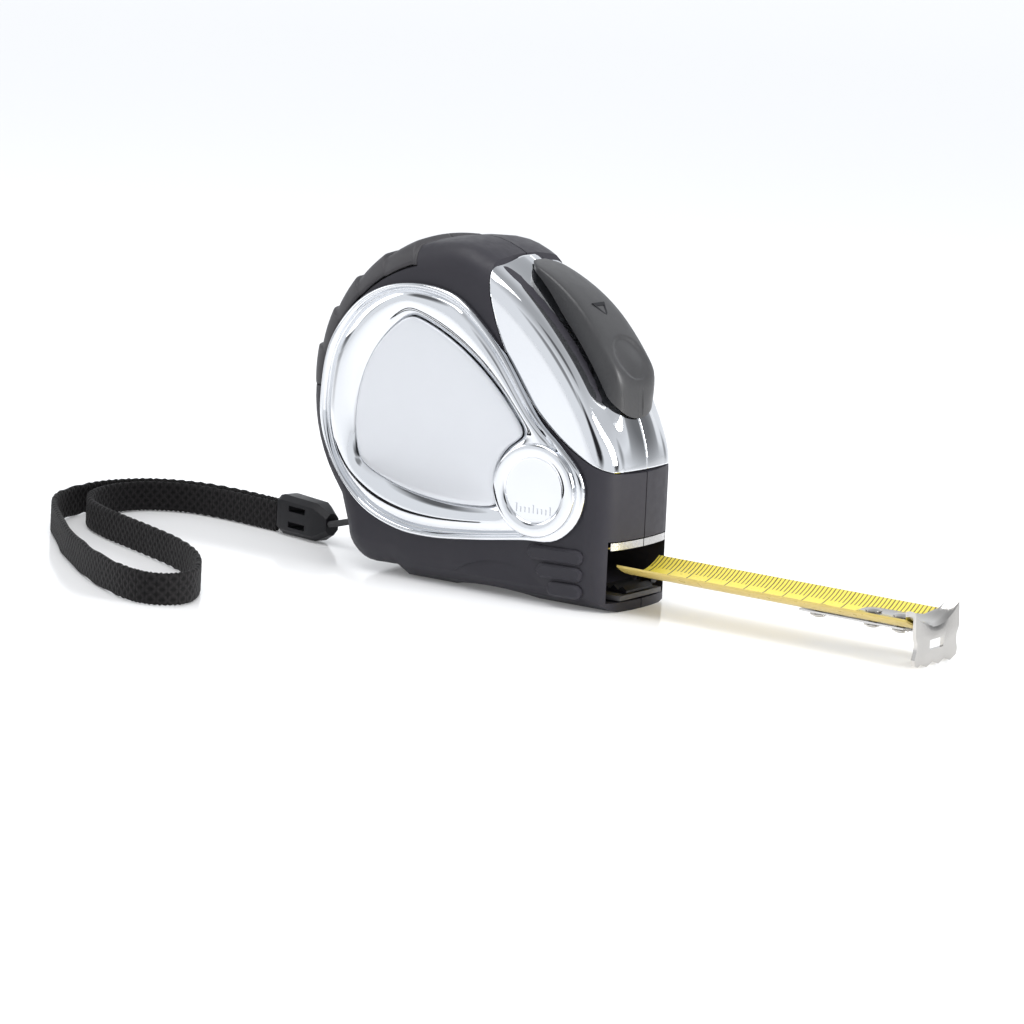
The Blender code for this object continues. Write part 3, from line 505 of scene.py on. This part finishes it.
def section_point(t, length, rise=0.0):
    """A point a given length round the rim from the seam: crown, rounding, then side face.

    Returns (x, y >= 0, z); rise lifts it off the surface, outward in the side view.
    """
    foot, inward = outline_point(t), outline_normal(t)
    half = half_thickness(foot.x)
    flat = half - CORNER
    bend = CORNER * math.pi / 2
    if length <= flat:
        share = length / flat
        inset, y = CROWN * share**2, length
    elif length <= flat + bend:
        angle = (length - flat) / CORNER
        inset, y = CROWN + CORNER * (1 - math.cos(angle)), flat + CORNER * math.sin(angle)
        rise *= math.cos(angle)
    else:
        inset, y = CROWN + CORNER + (length - flat - bend), None
        rise = 0.0
    spot = foot + inward * (inset - rise)
    if y is None or length > flat:
        # The side faces splay, so the rounding follows the thickness where it now is.
        base = half if y is None else y
        y = base - TOE * (spot.x - foot.x)
    return Vector((spot.x, y, spot.y))


def section_length(t, inset):
    """How far round the rim the surface is when its inset from the profile has a given value."""
    foot = outline_point(t)
    flat = half_thickness(foot.x) - CORNER
    if inset <= CROWN:
        return flat * math.sqrt(max(inset, 0) / CROWN)
    if inset <= CROWN + CORNER:
        return flat + CORNER * math.acos(1 - (inset - CROWN) / CORNER)
    return flat + CORNER * math.pi / 2 + (inset - CROWN - CORNER)


def closest(point, low, high):
    """The profile parameter whose foot is nearest to a point in the side view."""
    samples = 80
    best = min(
        (low + (high - low) * i / samples for i in range(samples + 1)),
        key=lambda t: (outline_point(t) - point).length,
    )
    width = (high - low) / samples
    for _ in range(24):
        best = min((best - width, best, best + width), key=lambda t: (outline_point(t) - point).length if t >= 0 else 1e9)
        width *= 0.6
    return max(best, 0.0)


def shroud_edge(share):
    """Side view of the boundary between the chromed front cover and the case side."""
    start, first, second, end = (-35.3, 80), (-35.3, 52), (-16.7, 33.4), (2, FRONT_TOP_Z + 0.3)
    w = ((1 - share) ** 3, 3 * share * (1 - share) ** 2, 3 * share**2 * (1 - share), share**3)
    return Vector([sum(a * p[k] for a, p in zip(w, (start, first, second, end))) for k in (0, 1)])


def shroud_rows():
    """Profile parameters and lengths of the cover's rows, from the top edge to the front edge."""
    rows = []
    for i in range(200):
        spot = shroud_edge(0.02 + 0.96 * i / 199)
        t = closest(spot, 0.0, 1.0)
        offset = spot - outline_point(t)
        inset = offset.dot(outline_normal(t))
        if inset < CROWN * 1.02 or (rows and t >= rows[-1][0] - 0.004):
            continue
        rows.append((t, section_length(t, inset)))
    return rows


def fade(value, start, end):
    share = min(1.0, max(0.0, (value - start) / (end - start)))
    return share * share * (3 - 2 * share)


def channel_depth(t, length):
    """Depth of the channel pressed along the cover's flank, between the slider and the side band."""
    start = 5.6 - 3.2 * fade(t, 0.16, 0.46)
    end = half_thickness(outline_point(t).x) - CORNER + 6.8
    if not start < length < end:
        return 0.0
    share = (length - start) / (end - start)
    bump = math.sin(math.pi * share) ** 1.25
    return 1.35 * bump * fade(t, 0.04, 0.26) * (1 - 0.75 * fade(t, 0.74, 0.92))


def make_shroud(word, side, material):
    """Chromed front cover, with a shallow channel pressed along each flank beside the slider."""
    rows = shroud_rows()
    across = 56
    points = []
    for t, reach in rows:
        for j in range(across + 1):
            length = SEAM + (reach - SEAM) * j / across
            p = section_point(t, length, -channel_depth(t, length))
            points.append((p.x, side * p.y, p.z))
    piece = build(f"{word}_shroud_skin", points, grid_faces(across + 1, len(rows)), material, "case", [f"{word}_shroud"], 60)
    turn_outward(piece)
    solidify(piece, 0.8)
    return piece


def turn_outward(piece, centre=(-45, 0, 38)):
    """Makes an open sheet's normals face away from the case's middle."""
    middle = place(centre)
    work = bmesh.new()
    work.from_mesh(piece.data)
    total = sum((f.calc_center_median() - middle).dot(f.normal) * f.calc_area() for f in work.faces)
    if total < 0:
        bmesh.ops.reverse_faces(work, faces=work.faces)
    work.to_mesh(piece.data)
    work.free()


GRIP_FIRST, GRIP_PITCH, GRIP_STEPS, GRIP_RISE = 106.0, 14.3, 5, 1.1


def grip_rise(angle):
    """Height of the stepped grip: each step rises at its front edge and falls to the next."""
    along = (angle - GRIP_FIRST) / GRIP_PITCH
    if along < 0 or along >= GRIP_STEPS:
        return 0.0
    share = along % 1
    if share < 0.07:
        return GRIP_RISE * math.sin(share / 0.07 * math.pi / 2)
    return GRIP_RISE * (1 - (share - 0.07) / 0.93) ** 0.8


def make_grip(word, side, material):
    angles = [GRIP_FIRST - 1.2]
    while angles[-1] < 177.4:
        near = ((angles[-1] - GRIP_FIRST) / GRIP_PITCH) % 1
        fine = angles[-1] > GRIP_FIRST - 2 and (near < 0.12 or near > 0.96)
        angles.append(angles[-1] + (0.18 if fine else 0.9))
    angles[-1] = 177.4
    across = 24
    points = []
    for angle in angles:
        t = 1 + (angle - 90) / 123
        reach = section_length(t, REAR_R - 33.0)
        for j in range(across + 1):
            length = SEAM + (reach - SEAM) * j / across
            p = section_point(t, length, grip_rise(angle))
            points.append((p.x, side * p.y, p.z))
    piece = build(f"{word}_grip_skin", points, grid_faces(across + 1, len(angles)), material, "case", [f"{word}_grip"], 50)
    turn_outward(piece)
    solidify(piece, 0.8)
    return piece


# ---------------------------------------------------------------- side plate, panel and badge
def on_side(x, z, height, side):
    return (x, side * (half_thickness(x) + height), z)


PLATE_KNOTS = (
    (-78.0, 39), (-76.2, 51), (-70.2, 60.3), (-62.5, 65.6), (-53.5, 67.4), (-45.0, 66.5),
    (-38.5, 63.2), (-29.5, 54.2), (-20.0, 41.0), (-12.6, 34.2), (-7.6, 28.8), (-6.4, 23.0),
    (-8.6, 16.8), (-14.0, 12.6), (-22.0, 11.9), (-34.0, 10.4), (-46.5, 9.4), (-56.5, 10.4),
    (-66.0, 14.6), (-73.6, 23.0), (-77.2, 31),
)  # fmt: skip
PLATE_CENTRE = Vector((-47.0, 37.0))
PLATE_KEYS = (
    (0.0, 0.25), (0.0, 0.9), (0.012, 1.3), (0.045, 1.72), (0.09, 1.85), (0.13, 1.7), (0.165, 1.2),
    (0.19, 0.85), (0.215, 0.8), (0.25, 1.0), (0.32, 1.5), (0.46, 2.0), (0.62, 2.05), (0.80, 1.7),
    (0.93, 1.15), (0.985, 0.85), (1.0, 0.7),
)  # fmt: skip


def panel_outline(steps):
    top, heel, nose, toe = (-54.0, 60.4), (-66.6, 25.0), (-21.6, 35.6), (-28.0, 18.8)
    outline = bezier(top, (-64.5, 54.5), (-71.5, 41), heel, steps)
    outline += bezier(heel, (-56, 18.6), (-42, 16.6), toe, steps)[1:]
    outline += bezier(toe, (-32.0, 25.5), (-28.6, 33.5), nose, steps // 2)[1:]
    outline += bezier(nose, (-31, 49.5), (-43, 57.5), top, steps)[1:-1]
    return outline


def ray_hits(outline, angles):
    """Where rays from the plate's centre cross a closed outline."""
    found = []
    count = len(outline)
    for angle in angles:
        ray = Vector((math.cos(angle), math.sin(angle)))
        best = 0.0
        for i in range(count):
            a = Vector(outline[i]) - PLATE_CENTRE
            edge = Vector(outline[(i + 1) % count]) - PLATE_CENTRE - a
            cross = ray.x * edge.y - ray.y * edge.x
            if abs(cross) < 1e-9:
                continue
            distance = (a.x * edge.y - a.y * edge.x) / cross
            share = (a.x * ray.y - a.y * ray.x) / cross
            if distance > best and -1e-6 <= share <= 1 + 1e-6:
                best = distance
        found.append(PLATE_CENTRE + ray * best)
    return found


def round_corners(outline, radius_steps=2):
    """Softens the sharp corners of a finely stepped outline by averaging neighbours."""
    points = [Vector(p) for p in outline]
    for _ in range(radius_steps):
        count = len(points)
        points = [points[i] * 0.5 + (points[i - 1] + points[(i + 1) % count]) * 0.25 for i in range(count)]
    return points


def make_side(word, side, mats):
    """Plate, panel and badge of one side."""
    seat_line = round_corners(panel_outline(48), 10)
    angles = sorted(math.atan2(p.y - PLATE_CENTRE.y, p.x - PLATE_CENTRE.x) for p in seat_line)
    rim = ray_hits(spline(PLATE_KNOTS, 10, closed=True), angles)
    seat = ray_hits(seat_line, angles)
    keys = spline(PLATE_KEYS, 4)
    points = []
    for share, height in keys:
        for a, b in zip(rim, seat):
            spot = a + (b - a) * max(share, 0.0)
            points.append(on_side(spot.x, spot.y, height, side))
    faces = ring_faces(len(angles), len(keys))
    build(f"{word}_plate_skin", points, faces, mats["chrome"], "case", [f"{word}_side_plate"], 70)

    inner = [PLATE_CENTRE + (p - PLATE_CENTRE) * (1 - 0.35 / (p - PLATE_CENTRE).length) for p in seat]
    points = []
    steps = ((0.0, 0.85), (0.0, 1.25), (0.15, 1.5), (0.5, 1.62), (1.5, 1.72), (6.0, 1.85), (14.0, 1.95))
    for inset, height in steps:
        for p in inner:
            away = p - PLATE_CENTRE
            spot = PLATE_CENTRE + away * (1 - inset / away.length)
            points.append(on_side(spot.x, spot.y, height, side))
    faces = ring_faces(len(inner), len(steps))
    build(f"{word}_panel_skin", points, faces, mats["panel_grey"], "case", [f"{word}_face_panel"], 60)

    profile = spline(((10.6, 1.2), (10.6, 2.5), (10.45, 2.95), (9.9, 3.25), (9.1, 3.3), (8.2, 3.2), (7.6, 2.9), (7.3, 2.6), (7.0, 2.52), (3.0, 2.55), (0.6, 2.56)), 4)
    count = 72
    points = []
    for radius, height in profile:
        for x, z in arc(BADGE_X, BADGE_Z, max(radius, 0.4), 0, 360, count)[:-1]:
            points.append(on_side(x, z, height, side))
    build(f"{word}_badge_skin", points, ring_faces(count, len(profile)), mats["chrome"], "case", [f"{word}_badge"], 60)
    make_badge_marks(word, side, mats)


def make_badge_marks(word, side, mats):
    """A short ruler scale in the badge's sunk face, in place of any lettering."""
    points, faces = [], []
    corner_faces = ((0, 1, 2, 3), (4, 5, 6, 7), (0, 1, 5, 4), (1, 2, 6, 5), (2, 3, 7, 6), (3, 0, 4, 7))
    for i in range(9):
        x = BADGE_X + (i - 4) * 1.1
        low = BADGE_Z - 5.2
        high = low + (1.9 if i % 4 == 0 else 1.2)
        corners = [(x - 0.17, low), (x + 0.17, low), (x + 0.17, high), (x - 0.17, high)]
        base = len(points)
        points += [on_side(a, b, d, side) for d in (2.45, 2.75) for a, b in corners]
        faces += [tuple(base + k for k in face) for face in corner_faces]
    build(f"{word}_badge_scale", points, faces, mats["chrome"], "case", (), 30)


# ---------------------------------------------------------------- slider
def slide_point(angle, radius):
    a = math.radians(angle)
    return (SLIDE_X + radius * math.cos(a), SLIDE_Z + radius * math.sin(a))


SLIDER_LIFT = SLIDE_R + 0.5
SLIDER_TOP, SLIDER_SWEEP, SLIDER_RAKE = 57.0, 30.5, 4.3


def slider_size(share):
    """Half width and height of the slider at a share of its length from its top end."""
    low_end = max(0.0, 1 - max(0.0, (share - 0.83) / 0.17) ** 2.6) ** 0.5
    top_end = math.sqrt(max(0.0, 1 - max(0.0, (0.10 - share) / 0.10) ** 2))
    half = (5.0 + 3.2 * math.sin(min(1.0, share / 0.8) * math.pi / 2)) * max(low_end, 0.12) * max(top_end, 0.45)
    height = 0.3 + 3.6 * math.sin(min(1.0, share / 0.6) * math.pi / 2) ** 0.9
    return half, height - 0.9 * max(0.0, (share - 0.86) / 0.14) ** 2


def make_slider(material):
    section = [(-1, 0), (-1, 0.35), (-0.998, 0.58), (-0.985, 0.72), (-0.955, 0.83), (-0.90, 0.91)]
    section += [(-0.82, 0.96), (-0.70, 0.99)]
    section += [(-0.70 + 1.4 * i / 14, 1.0 + 0.05 * math.sin(math.pi * i / 14)) for i in range(1, 14)]
    section += [(-u, v) for u, v in reversed(section[:8])]
    rows = 110
    dish_angle, dish_r, lip = 35.4, 5.7, 0.5
    points = []
    for i in range(rows + 1):
        share = math.sin(i / rows * math.pi / 2) ** 0.9
        half, height = slider_size(share)
        for u, v in section:
            angle = SLIDER_TOP - share * (SLIDER_SWEEP - SLIDER_RAKE * v)
            drop = 0.25 + 0.95 * fade(share, 0.12, 0.4) * (1 - fade(share, 0.84, 0.96))
            radius = SLIDER_LIFT - drop * u**2 * (1 - v) ** 3 + v * height
            if v > 0.9:
                reach = math.hypot(math.radians(angle - dish_angle) * radius, u * half) / dish_r
                radius -= lip * (1 - fade(reach, 0.86, 1.0)) - 0.18 * (1 - fade(reach, 0.0, 0.86))
            x, z = slide_point(angle, radius)
            points.append((x, u * half, z))
    faces = ring_faces(len(section), rows + 1)
    build("slider_skin", points, faces, material, "lock", ["lock_slider"], 45)

    tip_angle, span = 43.6, 1.5
    outer = [(tip_angle + span, -2.5), (tip_angle + span, 2.5), (tip_angle - span, 0)]
    inner = [(tip_angle + span * 0.62, -1.55), (tip_angle + span * 0.62, 1.55), (tip_angle - span * 0.42, 0)]
    share = (SLIDER_TOP - tip_angle) / (SLIDER_SWEEP - SLIDER_RAKE)
    top = SLIDER_LIFT + slider_size(share)[1] * 1.04
    mark = []
    for depth in (-0.4, 0.1):
        for angle, y in outer + inner:
            x, z = slide_point(angle, top + depth)
            mark.append((x, y, z))
    faces = []
    for i in range(3):
        j = (i + 1) % 3
        faces += [(i, j, 3 + j, 3 + i), (6 + i, 6 + j, 9 + j, 9 + i), (i, j, 6 + j, 6 + i), (3 + i, 3 + j, 9 + j, 9 + i)]
    build("slider_arrow", mark, faces, MATS["black_plastic"], "lock", (), 30)


# ---------------------------------------------------------------- strap
STRAP_KNOTS = (
    (-106.2, 7.1), (-112, 8.2), (-123, 9.6), (-135, 9.2), (-144.5, 4.6), (-149.8, -3.6),
    (-151.2, -14), (-148.5, -27.5), (-141.5, -38.2), (-130.5, -49), (-119.5, -59.4), (-107.4, -69),
    (-95.2, -77.4), (-82.4, -84), (-74, -85.6), (-69.2, -82), (-69.4, -75.2), (-75.6, -65.5),
    (-84.2, -57), (-95.2, -49.8), (-106.5, -44.6), (-117.4, -40), (-127.6, -35.5), (-136.8, -30),
    (-143.6, -22.2), (-146.6, -12.7), (-145.6, -4), (-141.6, 1.8), (-134.2, 5.6), (-123.4, 6),
    (-112.8, 4.8), (-106.9, 4.1),
)  # fmt: skip


WEAVE_CELL = 2.3  # length and width of one plaited cell


def weave_height(along, across):
    """Height from 0 to 1 of the plaited strands at a place on the webbing."""
    cell = math.tau / WEAVE_CELL
    crest = max(math.sin((along + across) * cell), math.sin((along - across) * cell))
    return 0.5 + 0.5 * crest


def make_strap(material):
    """Plaited tape standing on its edge: raised strands and bumpy edges, measured for the weave."""
    centre = spline(STRAP_KNOTS, 14)
    half, thick = STRAP_WIDTH / 2 - 0.15, STRAP_SHEET / 2 - 0.12
    across = 14
    side = [(-half + 0.5 + (2 * half - 1.0) * i / across, thick) for i in range(across + 1)]
    section = [(-half, 0), (-half + 0.15, thick * 0.7), *side, (half - 0.15, thick * 0.7), (half, 0)]
    section += [(up, -out) for up, out in reversed(section[1:-1])]
    points, path, travelled = [], [], [0.0]
    for i, (x, y) in enumerate(centre):
        before, after = centre[max(i - 1, 0)], centre[min(i + 1, len(centre) - 1)]
        along = Vector((after[0] - before[0], after[1] - before[1])).normalized()
        path.append(level((x, y, STRAP_WIDTH / 2 + 0.05)))
        if i:
            travelled.append(travelled[-1] + math.dist(centre[i], centre[i - 1]))
        for up, out in section:
            knit = weave_height(travelled[-1], up)
            spread = out + math.copysign(0.24 * (knit - 0.5), out) * (abs(out) > thick * 0.5)
            rise = up + 0.15 * math.sin(travelled[-1] * math.tau / (WEAVE_CELL / 2)) * (up / half) ** 3
            points.append((x - along.y * spread, y + along.x * spread, STRAP_WIDTH / 2 + 0.05 + rise))
    faces = ring_faces(len(section), len(centre))
    strap = build("strap_webbing", points, faces, material, "case", ["wrist_strap"], 80, level)
    layer = strap.data.uv_layers.new(name="UVMap")
    for loop in strap.data.loops:
        row, column = divmod(loop.vertex_index, len(section))
        layer.data[loop.index].uv = (travelled[row], section[column][0])


# ---------------------------------------------------------------- CAD nodes that stay
KEPT = {
    "shell_plastic": ("left_shell", "right_shell"),
    "inner_plastic": ("axle_post", "reel_drum", "reel_cover", "slider_carrier"),
    "mouth_plastic": ("mouth_plate",),
    "black_plastic": ("blade_guide", "hook_bumper", "brake_lever", "strap_clip"),
    "steel": (
        "left_mouth_bar", "right_mouth_bar", "case_screw_front", "case_screw_rear",
        "case_screw_top", "power_spring", "brake_pin", "brake_spring", "strap_pin", "blade_end_strip",
    ),
    "nickel": ("end_hook", "hook_rivet_front", "hook_rivet_rear", "strip_rivet"),
    "coil_edge": ("tape_coil",),
    "blade_print": ("blade", "blade_lead"),
    "black_cord": ("strap_link",),
}  # fmt: skip


def finish_nodes():
    for material, names in KEPT.items():
        for name in names:
            node = refine_node(name)
            node.data.materials.clear()
            node.data.materials.append(MATS[material])


make_camera()
MATS = make_materials()
MATS["black_cord"] = plain_finish("black_cord", (0.012, 0.012, 0.013), (0.030, 0.029, 0.030), (0.6, 0.75), grain=2.5, depth=0.05)
make_studio()
make_strap(MATS["webbing"])
for word, side in SIDES:
    make_shroud(word, side, MATS["chrome"])
    make_grip(word, side, MATS["grip_rubber"])
    make_side(word, side, MATS)
make_slider(MATS["slider_plastic"])
finish_nodes()
